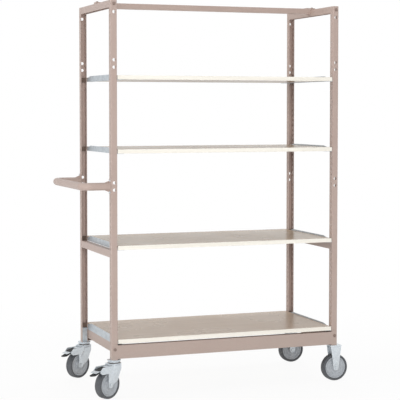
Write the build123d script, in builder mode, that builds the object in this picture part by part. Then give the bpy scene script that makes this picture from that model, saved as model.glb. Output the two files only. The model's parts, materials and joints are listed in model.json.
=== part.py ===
"""Shelf trolley: a slotted-post rack with four boards, a push handle and four casters.

Millimetres, +Z up, floor at z = 0. The front is -Y and the handle end is -X. The origin is under the
middle of the whole trolley, handle and casters included.
"""

import os
from math import cos, radians, sin

from build123d import *

os.makedirs("parts", exist_ok=True)

# Rack
width = 1100.0  # over the outer faces of the posts
depth = 525.0  # over the front and back faces of the posts
height = 1750.0  # floor to the post tops

# Posts, folded channels that open towards the middle of the rack
post_width = 28.0
post_depth = 30.0
post_wall = 2.0
post_bend = 3.0  # outer radius of the folds
slot_pitch = 25.0
slot_start = 40.0  # from the bottom board's slots to the first of the row
slot_height = 12.0
slot_width = 5.0
slot_setback = 17.0  # from the web's face to the slot row
pair_pitch = 32.0  # between the two holes of a pair
pair_hole = 14.0  # diameter
top_hole_drop = 52.0  # single hole below the post top

# Shelves. A level is a slot number, counted from the lowest slot.
levels = {"bottom": 0, "lower": 16, "upper": 33, "top": 46}
upper_pair_rise = 69.0  # above the top board's underside
board_thickness = 18.0
board_setback = 1.0  # board edge behind the post faces
band_thickness = 2.0
end_gap = 1.0  # between a board's end and its bracket
hook_rise = 3.0  # slot centre above the board's underside

# Galvanised end brackets
bracket_wall = 1.5
bracket_lip = 6.0  # above the board
bracket_flange = 32.0  # under the board
bracket_setback = 4.0
bracket_tab = 14.0  # height of the ends that lie on the posts
bracket_taper = 60.0
bracket_skirt = 10.0  # overlap of the bottom brackets on the base rails
hook_play = 0.3

# Clips behind the hooks
clip_drop = 3.0
clip_height = 20.0
clip_setback = 10.0
clip_thickness = 14.0

# Rails and base
rail_wall = 2.0
rail_end = 3.0  # end plates
top_rail_height = 31.0
mid_rail_height = 31.0
mid_rail_gap = 3.0  # below the third board's underside
tongue_length = 20.0
tongue_edge = 4.0
beam_height = 60.0
beam_flange = 25.0
beam_bend = 1.8
beam_gap = 7.0  # below the bottom board
beam_foot_gap = 4.0  # above the post feet
plate_edge = 3.0  # end plates inside the post's outer edge
plate_rise = 4.0  # end plates above the beam
plate_corner = 8.0
base_rail_width = 25.0
base_rail_drop = 52.0
centre_rail_width = 30.0
centre_rail_height = 25.0
centre_rise = 5.0  # above the side rails
centre_hook = 8.0  # thickness of the end hooks
hook_inset = 3.0
hook_overlap = 22.0

# Push handle
tube_diameter = 33.7
tube_wall = 2.0
handle_height = 935.0  # floor to the middle of the tube
handle_reach = 124.0  # post face to the middle of the cross bar
handle_corner = 40.0
handle_plate = 3.0
handle_plate_width = 26.0
handle_plate_edge = 8.0  # beyond its bolts
handle_bolt_reach = 25.0  # above and below the tube's middle
handle_bolt_setback = 8.0  # from the post's web, clear of its slots
handle_rib_length = 26.0  # ribs on the tube, above and below, against the plates
handle_rib_rise = 10.0
handle_rib_wall = 2.6

# Fasteners
frame_bolt = 8.0
small_bolt = 6.0
hole_play = 0.2  # radial, in clearance holes
thread_play = 0.05
base_bolt_rise = 46.0  # above the post feet
top_bolt_drop = 17.0

# Post foot inserts
insert_rise = 67.0
insert_wall = 2.5
insert_base = 6.0
insert_play = 0.1

# Wheels
wheel_diameter = 125.0
tyre_width = 36.0
tyre_thickness = 11.5
tyre_corner = 6.0
rim_width = 30.0
rim_ring = 7.0
rim_disc = 20.0
rim_groove = 2.0
hub_diameter = 34.0
hub_width = 38.0
sleeve_diameter = 16.0
axle_diameter = 8.0
running_play = 0.05
seat_play = 0.05

# Forks and swivel heads
leg_gap = 42.0
leg_wall = 3.0
leg_end = 13.0  # radius round the axle
crown_gap = 25.0  # tyre to crown
crown_wall = 4.0
crown_radius = 31.0
crown_front = 23.0
crown_back = 33.0
leg_slope_start = 20.0  # below the crown
leg_knee = 16.0  # above the axle, where the swivel legs start to narrow
leg_bend = 2.5
cheek_reach = 104.0  # rear end of the cheeks beside the pedal
cheek_drop = 4.0  # below the crown's underside
cheek_depth = 31.0
cheek_nose = 15.0
cheek_chin = 10.0
race_height = 8.0
race_radius = 21.0
race_balls = 12
ball_play = 0.3
swivel_plate_thickness = 6.0
swivel_plate_radius = 30.0
trail = 42.0  # swivel axis to axle
heading = 28.0  # degrees that the swivel casters are turned towards the front
king_bolt = 10.0
fixed_lead = 6.0  # fixed wheels outboard of their posts
fixed_plate_wall = 4.0
fixed_plate_length = 56.0
fixed_top_width = 54.0
panel_rise = 1.5  # pressed panel on the fixed legs
panel_edge = 9.0
panel_slope = 45.0  # degrees

# Brake pedals, measured from the swivel axis
pedal_pivot_back = 40.0
pedal_pivot_drop = 12.0  # below the crown's underside
pedal_pin = 6.0
pedal_barrel = 14.0
pedal_width = 34.0
pedal_wall = 4.0
pedal_length = 105.0  # pivot to tip
pedal_droop = 9.0  # degrees below level at rest
pedal_travel = 10.0  # degrees
pedal_tip = 18.0  # rubber outer end
pad_length = 68.0
pad_thickness = 3.0
shoe_angle = 35.0  # from the top of the wheel
shoe_length = 14.0
shoe_gap = 0.6  # to the tyre with the pedal down

# Levels that follow from the stack of pieces, from the floor up
wheel_radius = wheel_diameter / 2
crown_bottom = wheel_diameter + crown_gap
crown_top = crown_bottom + crown_wall
plate_bottom = crown_top + race_height
foot = plate_bottom + swivel_plate_thickness
beam_bottom = foot + beam_foot_gap
beam_top = beam_bottom + beam_height
base_underside = beam_top + beam_gap
first_slot = base_underside + hook_rise


def slot_z(number):
    """Height of a slot's centre, counted from the lowest."""
    if number == 0:
        return first_slot
    return first_slot + slot_start + (number - 1) * slot_pitch


def board_z(level):
    """Height of a board's underside."""
    return slot_z(levels[level]) - hook_rise


pair_heights = (handle_height, board_z("top") + upper_pair_rise)
axle_z = wheel_radius
mid_rail_top = board_z("lower") - mid_rail_gap

# Reaches from the rack's middle, which put the origin under the middle of the whole trolley
post_x = width / 2 - post_width / 2
post_y = depth / 2 - post_depth / 2
tip_height = pedal_wall / 2
pedal_reach = (
    pedal_pivot_back + pedal_length * cos(radians(pedal_droop)) + tip_height * sin(radians(pedal_droop))
)
reach_left = width / 2 + handle_reach + tube_diameter / 2
reach_right = post_x + fixed_lead + wheel_radius
reach_front = post_y + pedal_reach * sin(radians(heading)) + pedal_width / 2 * cos(radians(heading))
reach_back = post_y + crown_radius
rack_x = (reach_left - reach_right) / 2
rack_y = (reach_front - reach_back) / 2
left, right = rack_x - width / 2, rack_x + width / 2
front, back = rack_y - depth / 2, rack_y + depth / 2

sides = {"left": (left, 1), "right": (right, -1)}  # outer face, way in
ends = {"front": (front, 1), "back": (back, -1)}


def save(builder, label):
    """Labels a finished piece and writes it."""
    builder.part.label = label
    export_step(builder.part, f"parts/{label}.step")


def block(x, y, z, mode=Mode.ADD):
    """Box between two limits on each axis, in any order."""
    with Locations(((x[0] + x[1]) / 2, (y[0] + y[1]) / 2, (z[0] + z[1]) / 2)):
        Box(abs(x[1] - x[0]), abs(y[1] - y[0]), abs(z[1] - z[0]), mode=mode)


def drill(point, direction, diameter, length):
    """Round hole through a point, as long on either side of it."""
    with BuildSketch(Plane(origin=point, z_dir=direction)) as hole:
        Circle(diameter / 2)
    extrude(hole.sketch, amount=length, both=True, mode=Mode.SUBTRACT)


def bolt(point, direction, diameter, grip):
    """Hexagon bolt: the head stands out along the direction, the nut closes the grip."""
    head, nut = 0.65 * diameter, 0.8 * diameter
    flats = 1.6 * diameter
    outside = Plane(origin=point, z_dir=direction)
    inside = outside.offset(-grip)
    with BuildSketch(outside) as hexagon:
        RegularPolygon(flats / 2, 6, major_radius=False)
    extrude(hexagon.sketch, amount=head)
    with BuildSketch(outside) as shank:
        Circle(diameter / 2)
    extrude(shank.sketch, amount=-(grip + nut))
    with BuildSketch(inside) as ring:
        RegularPolygon(flats / 2, 6, major_radius=False)
        Circle(diameter / 2 + thread_play, mode=Mode.SUBTRACT)
    extrude(ring.sketch, amount=-nut)


# Posts
slot_count = int((height - top_rail_height - slot_height - slot_z(1)) // slot_pitch) + 2
slot_heights = [slot_z(number) for number in range(slot_count)]
for side, (outer_x, way_x) in sides.items():
    for end, (outer_y, way_y) in ends.items():
        x = outer_x + way_x * post_width / 2
        slot_y = outer_y + way_y * slot_setback
        handle_y = outer_y + way_y * handle_bolt_setback
        with BuildPart() as post:
            block((outer_x, outer_x + way_x * post_width), (outer_y, outer_y + way_y * post_depth), (foot, height))
            folds = post.edges().filter_by(Axis.Z).group_by(Axis.Y)[0 if way_y > 0 else -1]
            fillet(folds, post_bend)
            block(
                (outer_x + way_x * post_wall, outer_x + way_x * (post_width - post_wall)),
                (outer_y + way_y * post_wall, outer_y + way_y * (post_depth + post_wall)),
                (foot - post_wall, height + post_wall),
                mode=Mode.SUBTRACT,
            )
            with Locations([(x, slot_y, z) for z in slot_heights]):
                Box(2 * post_width, slot_width, slot_height, mode=Mode.SUBTRACT)
            web = (0, way_y, 0)
            for middle in pair_heights:
                for step in (-pair_pitch / 2, pair_pitch / 2):
                    drill((x, outer_y, middle + step), web, pair_hole, 2 * post_wall)
            drill((x, outer_y, height - top_hole_drop), web, pair_hole, 2 * post_wall)
            for z in (height - top_bolt_drop, foot + base_bolt_rise):
                drill((x, outer_y, z), web, frame_bolt + 2 * hole_play, 2 * post_wall)
            if side == "left":
                for step in (-handle_bolt_reach, handle_bolt_reach):
                    drill(
                        (outer_x, handle_y, handle_height + step),
                        (way_x, 0, 0),
                        small_bolt + 2 * hole_play,
                        2 * post_wall,
                    )
        save(post, f"post_{end}_{side}")

# Top and middle rails, channels with the open side down
rail_y = (front + post_depth, back - post_depth)
for side, (outer_x, way_x) in sides.items():
    x = outer_x + way_x * post_width / 2
    inner_x = outer_x + way_x * post_width
    for label, top, tall in (
        ("top", height, top_rail_height),
        ("mid", mid_rail_top, mid_rail_height),
    ):
        with BuildPart() as rail:
            block((outer_x, inner_x), rail_y, (top - tall, top))
            block(
                (outer_x + way_x * rail_wall, inner_x - way_x * rail_wall),
                (rail_y[0] + rail_end, rail_y[1] - rail_end),
                (top - tall - rail_wall, top - rail_wall),
                mode=Mode.SUBTRACT,
            )
            if label == "top":
                for y in rail_y:
                    drill((x, y, top - top_bolt_drop), (0, 1, 0), frame_bolt + 2 * hole_play, 2 * rail_end)
                drill(
                    (x, rack_y, top),
                    (0, 0, 1),
                    small_bolt + 2 * hole_play,
                    2 * rail_wall,
                )
            else:
                tongue_x = outer_x + way_x * post_wall
                block(
                    (tongue_x, tongue_x + way_x * rail_wall),
                    (rail_y[0] - tongue_length, rail_y[1] + tongue_length),
                    (top - tall + tongue_edge, top - tongue_edge),
                )
        save(rail, f"{label}_rail_{side}")

# Centre rail, a tube between the top rails with end hooks that lie on them
centre_y = (rack_y - centre_rail_width / 2, rack_y + centre_rail_width / 2)
centre_top = height + centre_rise
hook_top = height + centre_hook
inner_left, inner_right = left + post_width, right - post_width
with BuildPart() as centre_rail:
    block((inner_left, inner_right), centre_y, (centre_top - centre_rail_height, centre_top))
    block(
        (inner_left - rail_wall, inner_right + rail_wall),
        (centre_y[0] + rail_wall, centre_y[1] - rail_wall),
        (centre_top - centre_rail_height + rail_wall, centre_top - rail_wall),
        mode=Mode.SUBTRACT,
    )
    for outer_x, way_x in sides.values():
        hook_x = outer_x + way_x * hook_inset
        block(
            (hook_x, outer_x + way_x * (post_width + hook_overlap)),
            centre_y,
            (height, hook_top),
        )
        drill(
            (outer_x + way_x * post_width / 2, rack_y, hook_top),
            (0, 0, 1),
            small_bolt + 2 * hole_play,
            2 * centre_hook,
        )
save(centre_rail, "top_rail_centre")

# Base beams, channels whose webs run over the post feet as end plates
plate_z = (foot + (beam_foot_gap - plate_rise) / 2, beam_top + plate_rise)
for end, (outer_y, way_y) in ends.items():
    web_y = (outer_y - way_y * rail_wall, outer_y)
    with BuildPart() as beam:
        block((left + plate_edge, right - plate_edge), web_y, (beam_bottom, beam_top))
        for outer_x, way_x in sides.values():
            block((outer_x + way_x * plate_edge, outer_x + way_x * post_width), web_y, plate_z)
        corners = beam.edges().filter_by(Axis.Y).group_by(Axis.Z)[-1].sort_by(Axis.X)
        fillet([corners[0], corners[-1]], plate_corner)
        clear_x = post_width + end_gap
        for z in ((beam_bottom, beam_bottom + rail_wall), (beam_top - rail_wall, beam_top)):
            block((left + clear_x, right - clear_x), (outer_y, outer_y + way_y * beam_flange), z)
        for outer_x, way_x in sides.values():
            x = outer_x + way_x * post_width / 2
            drill((x, outer_y, foot + base_bolt_rise), (0, 1, 0), frame_bolt + 2 * hole_play, 2 * rail_wall)
        outside = beam.edges().filter_by(Axis.X).group_by(Axis.Y)[0 if way_y > 0 else -1]
        fillet(outside.filter_by(lambda e: e.length > width / 2), beam_bend)
    save(beam, f"base_beam_{end}")

# Base rails, tubes between the beams, just inside the bottom brackets
base_seat = base_underside - bracket_wall
for side, (outer_x, way_x) in sides.items():
    rail_x = outer_x + way_x * (post_width + bracket_wall)
    with BuildPart() as base_rail:
        base_y = (front + beam_flange, back - beam_flange)
        base_z = (base_seat - base_rail_drop, base_seat)
        block((rail_x, rail_x + way_x * base_rail_width), base_y, base_z)
        block(
            (rail_x + way_x * rail_wall, rail_x + way_x * (base_rail_width - rail_wall)),
            (base_y[0] - rail_wall, base_y[1] + rail_wall),
            (base_z[0] + rail_wall, base_z[1] - rail_wall),
            mode=Mode.SUBTRACT,
        )
    save(base_rail, f"base_rail_{side}")

# Push handle
arm_y = (front + post_depth / 2, back - post_depth / 2)
handle_bolt_y = (front + handle_bolt_setback, back - handle_bolt_setback)
plate_face = left - handle_plate
bar_x = left - handle_reach
with BuildPart() as handle:
    with BuildLine() as handle_path:
        FilletPolyline(
            (plate_face, arm_y[0], handle_height),
            (bar_x, arm_y[0], handle_height),
            (bar_x, arm_y[1], handle_height),
            (plate_face, arm_y[1], handle_height),
            radius=handle_corner,
        )
    with BuildSketch(Plane(origin=(plate_face, arm_y[0], handle_height), z_dir=(-1, 0, 0))):
        Circle(tube_diameter / 2)
        Circle(tube_diameter / 2 - tube_wall, mode=Mode.SUBTRACT)
    sweep(path=handle_path.wires()[0])
    plate_half = handle_bolt_reach + handle_plate_edge
    for y in arm_y:
        block(
            (plate_face, left),
            (y - handle_plate_width / 2, y + handle_plate_width / 2),
            (handle_height - plate_half, handle_height + plate_half),
        )
        for way in (-1, 1):
            root = handle_height + way * (tube_diameter - tube_wall) / 2
            with BuildSketch(Plane.XZ.offset(-y)) as rib:
                with BuildLine():
                    Polyline(
                        (plate_face, root),
                        (plate_face - handle_rib_length, root),
                        (plate_face, root + way * handle_rib_rise),
                        close=True,
                    )
                make_face()
            extrude(rib.sketch, amount=handle_rib_wall / 2, both=True)
    for y in handle_bolt_y:
        for step in (-handle_bolt_reach, handle_bolt_reach):
            drill((left, y, handle_height + step), (1, 0, 0), small_bolt + 2 * hole_play, 2 * handle_plate)
save(handle, "push_handle")

# Boards, their edge bands and their brackets
board_ends = post_width + bracket_wall + end_gap
board_x = (left + board_ends, right - board_ends)
band_y = (front + board_setback, back - board_setback)
board_y = (band_y[0] + band_thickness, band_y[1] - band_thickness)
for level in levels:
    z = board_z(level)
    with BuildPart() as board:
        block(board_x, board_y, (z, z + board_thickness))
    save(board, f"shelf_board_{level}")

with BuildPart() as bands:
    for level in levels:
        z = board_z(level)
        for edge, core in zip(band_y, board_y):
            block(board_x, (edge, core), (z, z + board_thickness))
save(bands, "edge_bands")

bracket_y = (front + bracket_setback, back - bracket_setback)
for level in levels:
    z = board_z(level)
    low = z - bracket_wall
    high = z + board_thickness + bracket_lip
    hook_low = slot_z(levels[level]) - slot_height / 2
    for side, (outer_x, way_x) in sides.items():
        face_x = outer_x + way_x * post_width
        with BuildPart() as bracket:
            with BuildSketch(Plane.YZ.offset(face_x)):
                with BuildLine():
                    Polyline(
                        (bracket_y[0], low),
                        (bracket_y[1], low),
                        (bracket_y[1], low + bracket_tab),
                        (rail_y[1], low + bracket_tab),
                        (rail_y[1] - bracket_taper, high),
                        (rail_y[0] + bracket_taper, high),
                        (rail_y[0], low + bracket_tab),
                        (bracket_y[0], low + bracket_tab),
                        close=True,
                    )
                make_face()
            extrude(amount=way_x * bracket_wall)
            block((face_x, face_x + way_x * bracket_flange), bracket_y, (low, z))
            if level == "bottom":
                block((face_x, face_x + way_x * bracket_wall), rail_y, (low - bracket_skirt, low))
            for outer_y, way_y in ends.values():
                hook_y = outer_y + way_y * slot_setback
                hook_half = slot_width / 2 - hook_play
                block(
                    (face_x - way_x * post_wall, face_x),
                    (hook_y - hook_half, hook_y + hook_half),
                    (hook_low, hook_low + slot_height - hook_play),
                )
        save(bracket, f"shelf_bracket_{level}_{side}")

# Clips in the post channels behind the hooks
with BuildPart() as clips:
    for level in levels:
        low = board_z(level) - clip_drop
        for outer_x, way_x in sides.values():
            for outer_y, way_y in ends.values():
                mouth = outer_y + way_y * (post_depth - clip_setback)
                block(
                    (outer_x + way_x * post_wall, outer_x + way_x * (post_width - post_wall)),
                    (mouth - way_y * clip_thickness, mouth),
                    (low, low + clip_height),
                )
save(clips, "shelf_clips")

# Post foot inserts: open tubes with a base that takes the caster's bolt
for side, (outer_x, way_x) in sides.items():
    for end, (outer_y, way_y) in ends.items():
        x, y = outer_x + way_x * post_width / 2, outer_y + way_y * post_depth / 2
        margin = post_wall + insert_play
        insert_x = (outer_x + way_x * margin, outer_x + way_x * (post_width - margin))
        insert_y = (outer_y + way_y * margin, outer_y + way_y * (post_depth - margin))
        with BuildPart() as insert:
            block(insert_x, insert_y, (foot, foot + insert_rise))
            block(
                (insert_x[0] + way_x * insert_wall, insert_x[1] - way_x * insert_wall),
                (insert_y[0] + way_y * insert_wall, insert_y[1] - way_y * insert_wall),
                (foot + insert_base, foot + insert_rise + insert_wall),
                mode=Mode.SUBTRACT,
            )
            drill((x, y, foot), (0, 0, 1), king_bolt + 2 * hole_play, 2 * insert_base)
            wall_y = insert_y[0]
            drill((x, wall_y, foot + base_bolt_rise), (0, way_y, 0), frame_bolt + 2 * hole_play, 2 * insert_wall)
        save(insert, f"caster_insert_{end}_{side}")

# Fasteners of the frame
top_grip = post_depth + rail_end
base_grip = rail_wall + post_wall + insert_play + insert_wall
with BuildPart() as frame_bolts:
    for outer_x, way_x in sides.values():
        x = outer_x + way_x * post_width / 2
        for outer_y, way_y in ends.values():
            out = (0, -way_y, 0)
            bolt((x, outer_y, height - top_bolt_drop), out, frame_bolt, top_grip)
            beam_face = outer_y - way_y * rail_wall
            bolt((x, beam_face, foot + base_bolt_rise), out, frame_bolt, base_grip)
        bolt((x, rack_y, hook_top), (0, 0, 1), small_bolt, centre_hook + rail_wall)
save(frame_bolts, "frame_bolts")

with BuildPart() as handle_bolts:
    for y in handle_bolt_y:
        for step in (-handle_bolt_reach, handle_bolt_reach):
            bolt((plate_face, y, handle_height + step), (-1, 0, 0), small_bolt, handle_plate + post_wall)
save(handle_bolts, "handle_bolts")


# Casters
def caster_plane(x, y, turn, lateral=0.0):
    """Upright plane through a caster: local x trails behind its axis, local y is up."""
    way = Vector(-cos(radians(turn)), -sin(radians(turn)), 0)
    across = Vector(-sin(radians(turn)), cos(radians(turn)), 0)
    return Plane(origin=Vector(x, y, 0) + across * lateral, x_dir=way, z_dir=across)


def lever_point(point, pivot, angle):
    """A point of a caster's upright plane, measured from a pivot and turned about it in degrees."""
    turned = (point - Vector(*pivot)).rotate(Axis.Z, angle)
    return (turned.X, turned.Y)


def add_wheel(name, plane, back_x):
    """Rim and tyre of a wheel whose axle crosses the caster's plane at back_x."""
    hub = plane.from_local_coords(Vector(back_x, axle_z, 0))
    section = Plane(origin=hub, x_dir=plane.z_dir, z_dir=plane.x_dir)
    axis = Axis(hub, plane.z_dir)
    seat = wheel_radius - tyre_thickness
    ring = seat - rim_ring
    bore = sleeve_diameter / 2 + running_play
    with BuildPart() as rim:
        with BuildSketch(section):
            with Locations((0, (bore + hub_diameter / 2) / 2)):
                Rectangle(hub_width, hub_diameter / 2 - bore)
            with Locations((0, (hub_diameter / 2 + ring) / 2)):
                Rectangle(rim_disc, ring - hub_diameter / 2 + rim_groove)
            with Locations((0, (ring + seat - seat_play) / 2)):
                Rectangle(rim_width, seat - seat_play - ring)
        revolve(axis=axis)
        creases = rim.edges().filter_by(GeomType.CIRCLE).filter_by(lambda e: abs(e.radius - ring) < seat_play)
        chamfer(creases, rim_groove)
        rims = rim.edges().filter_by(GeomType.CIRCLE).filter_by(lambda e: abs(e.radius - hub_diameter / 2) < seat_play)
        fillet(rims, rim_groove)
    save(rim, f"wheel_rim_{name}")
    with BuildPart() as tyre:
        with BuildSketch(section):
            with Locations((0, (seat + wheel_radius) / 2)):
                Rectangle(tyre_width, tyre_thickness)
        revolve(axis=axis)
        shoulders = tyre.edges().filter_by(GeomType.CIRCLE).filter_by(
            lambda e: abs(e.radius - wheel_radius) < seat_play
        )
        fillet(shoulders, tyre_corner)
    save(tyre, f"tyre_{name}")


def add_axle(name, plane, back_x):
    """Axle bolt across the fork, its nut, and the sleeve that the wheel runs on."""
    outside = leg_gap / 2 + leg_wall
    head = plane.from_local_coords(Vector(back_x, axle_z, -outside))
    with BuildPart() as axle:
        bolt(head, plane.z_dir * -1, axle_diameter, 2 * outside)
        with BuildSketch(plane):
            with Locations((back_x, axle_z)):
                Circle(sleeve_diameter / 2)
                Circle(axle_diameter / 2 + thread_play, mode=Mode.SUBTRACT)
        extrude(amount=leg_gap / 2, both=True)
    save(axle, f"axle_{name}")


def add_leg(plane, outline, back_x):
    """One fork leg: an outline that runs down to a round end with the axle hole."""
    with BuildSketch(plane) as leg:
        with BuildLine():
            Polyline(*outline, close=True)
        make_face()
        with Locations((back_x, axle_z)):
            Circle(leg_end)
            Circle(axle_diameter / 2 + thread_play, mode=Mode.SUBTRACT)
    extrude(leg.sketch, amount=leg_wall / 2, both=True)


leg_middle = (leg_gap + leg_wall) / 2
fork_width = leg_gap + 2 * leg_wall
pivot = (pedal_pivot_back, crown_bottom - pedal_pivot_drop)
cheek_top = crown_bottom - cheek_drop
cheek_low = cheek_top - cheek_depth
kings = []
races = []
for end, (outer_y, way_y) in ends.items():
    name = f"{end}_left"
    x, y = left + post_width / 2, outer_y + way_y * post_depth / 2
    upright = caster_plane(x, y, heading)
    level_plane = Plane(origin=(x, y, crown_bottom), x_dir=upright.x_dir, z_dir=(0, 0, 1))
    kings.append((x, y, crown_bottom))
    races.append((x, y))

    with BuildPart() as plate:
        with BuildSketch(Plane.XY.offset(plate_bottom)):
            with Locations((x, y)):
                Circle(swivel_plate_radius)
                Circle(king_bolt / 2 + hole_play, mode=Mode.SUBTRACT)
        extrude(amount=swivel_plate_thickness)
        rim_edge = plate.edges().filter_by(GeomType.CIRCLE).sort_by(SortBy.LENGTH)[-2:].sort_by(Axis.Z)[0]
        chamfer(rim_edge, swivel_plate_thickness / 2)
    save(plate, f"swivel_plate_{name}")

    with BuildPart() as fork:
        with BuildSketch(level_plane):
            Circle(crown_radius)
            with Locations(((crown_back - crown_front) / 2, 0)):
                Rectangle(crown_front + crown_back, fork_width)
            Circle(king_bolt / 2 + running_play, mode=Mode.SUBTRACT)
        extrude(amount=crown_wall)
        for lateral in (-leg_middle, leg_middle):
            add_leg(
                caster_plane(x, y, heading, lateral),
                [
                    (-crown_front, crown_top),
                    (crown_back, crown_top),
                    (crown_back, cheek_top),
                    (cheek_reach - cheek_nose, cheek_top),
                    (cheek_reach, cheek_top - cheek_nose),
                    (cheek_reach, cheek_low + cheek_chin),
                    (cheek_reach - cheek_chin, cheek_low),
                    (trail + leg_end, cheek_low),
                    (trail + leg_end, axle_z),
                    (trail - leg_end, axle_z),
                    (0, axle_z + leg_knee),
                    (-crown_front, crown_bottom - leg_slope_start),
                ],
                trail,
            )
        with BuildSketch(upright):
            with Locations(pivot):
                Circle(pedal_pin / 2 + thread_play)
        extrude(amount=fork_width, both=True, mode=Mode.SUBTRACT)
    save(fork, f"caster_fork_{name}")

    add_axle(name, upright, trail)
    add_wheel(name, upright, trail)

    with BuildPart() as pin:
        with BuildSketch(upright):
            with Locations(pivot):
                Circle(pedal_pin / 2)
        extrude(amount=fork_width / 2 + leg_wall / 2, both=True)
    save(pin, f"pedal_pin_{name}")

    # The lever runs from the pivot to the tip, and the shoe meets the tyre when the lever is down
    lever = Plane(
        origin=upright.from_local_coords(Vector(*pivot, 0)),
        x_dir=upright.x_dir.rotate(Axis((0, 0, 0), upright.z_dir), -pedal_droop),
        z_dir=upright.z_dir,
    )
    arc = radians(shoe_angle)
    touch = wheel_radius + shoe_gap
    foot_mid = (trail + touch * sin(arc), axle_z + touch * cos(arc))
    half = Vector(cos(arc), -sin(arc), 0) * shoe_length / 2
    sole = [Vector(*foot_mid, 0) - half, Vector(*foot_mid, 0) + half]
    sole = [lever_point(corner, pivot, pedal_travel + pedal_droop) for corner in sole]
    pad_end = pedal_length - pedal_tip
    with BuildPart() as pedal:
        with BuildSketch(lever):
            Circle(pedal_barrel / 2)
            with BuildLine():
                Polyline(*sole, (sole[1][0], pedal_wall / 2), (sole[0][0], pedal_wall / 2), close=True)
            make_face()
            with BuildLine():
                Polyline(
                    (0, 0),
                    (0, pedal_barrel / 2),
                    (pad_end, pedal_wall),
                    (pad_end, 0),
                    close=True,
                )
            make_face()
        extrude(amount=pedal_width / 2, both=True)
        with BuildSketch(upright):
            with Locations(pivot):
                Circle(pedal_pin / 2 + running_play)
        extrude(amount=pedal_width, both=True, mode=Mode.SUBTRACT)
    save(pedal, f"brake_pedal_{name}")

    with BuildPart() as pad:
        pad_start = pad_end - pad_length
        seat_start = pedal_barrel / 2 - (pedal_barrel / 2 - pedal_wall) * pad_start / pad_end
        with BuildSketch(lever):
            with BuildLine():
                Polyline(
                    (pad_start, seat_start),
                    (pad_end, pedal_wall),
                    (pad_end, 0),
                    (pedal_length, 0),
                    (pedal_length, tip_height),
                    (pad_end, pedal_wall + pad_thickness),
                    (pad_start, seat_start + pad_thickness),
                    close=True,
                )
            make_face()
        extrude(amount=pedal_width / 2, both=True)
    save(pad, f"pedal_pad_{name}")

for end, (outer_y, way_y) in ends.items():
    name = f"{end}_right"
    x, y = right - post_width / 2, outer_y + way_y * post_depth / 2
    wheel_x = x + fixed_lead
    upright = caster_plane(wheel_x, y, 0)
    kings.append((x, y, foot - fixed_plate_wall))
    with BuildPart() as fork:
        with BuildSketch(Plane.XY.offset(foot)):
            with Locations((wheel_x, y)):
                Rectangle(fixed_plate_length, fork_width)
            with Locations((x, y)):
                Circle(king_bolt / 2 + hole_play, mode=Mode.SUBTRACT)
        extrude(amount=-fixed_plate_wall)
        for lateral in (-leg_middle, leg_middle):
            add_leg(
                caster_plane(wheel_x, y, 0, lateral),
                [
                    (-fixed_top_width / 2, foot),
                    (fixed_top_width / 2, foot),
                    (leg_end, axle_z),
                    (-leg_end, axle_z),
                ],
                0,
            )
        fillet(fork.edges().filter_by(Axis.X).group_by(Axis.Z)[-1], leg_bend)
        for lateral, way in ((-leg_gap / 2 - leg_wall, -1), (leg_gap / 2 + leg_wall, 1)):
            face = caster_plane(wheel_x, y, 0, lateral)
            outward = Plane(origin=face.origin, x_dir=face.x_dir * way, z_dir=face.z_dir * way)
            panel_half = (fixed_top_width / 2 - panel_edge, leg_end - panel_edge / 2)
            panel_z = (foot - panel_edge, axle_z + leg_end)
            with BuildSketch(outward) as panel:
                with BuildLine():
                    Polyline(
                        (-panel_half[0], panel_z[0]),
                        (panel_half[0], panel_z[0]),
                        (panel_half[1], panel_z[1]),
                        (-panel_half[1], panel_z[1]),
                        close=True,
                    )
                make_face()
            extrude(panel.sketch, amount=panel_rise, taper=panel_slope)
    save(fork, f"caster_fork_{name}")
    add_axle(name, upright, 0)
    add_wheel(name, upright, 0)

# Ball races between the swivel plates and the fork crowns
ball_radius = (race_height - ball_play) / 2
with BuildPart() as race:
    for x, y in races:
        with Locations((x, y, plate_bottom - ball_radius)):
            with PolarLocations(race_radius, race_balls):
                Sphere(ball_radius)
save(race, "ball_races")

# Kingpins of the swivel casters and mounting bolts of the fixed ones
with BuildPart() as king_bolts:
    for x, y, underside in kings:
        gap = hole_play if underside == crown_bottom else 0
        bolt((x, y, underside - gap), (0, 0, -1), king_bolt, foot + insert_base - underside + gap)
save(king_bolts, "caster_bolts")
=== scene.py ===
"""Looks of the shelf trolley: paint, boards, zinc-coated steel, casters, light and camera.

Metres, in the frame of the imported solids: the front is -Y, the handle end is -X, the floor is z = 0.
"""

import json
from math import cos, pi, radians, sin

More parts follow.
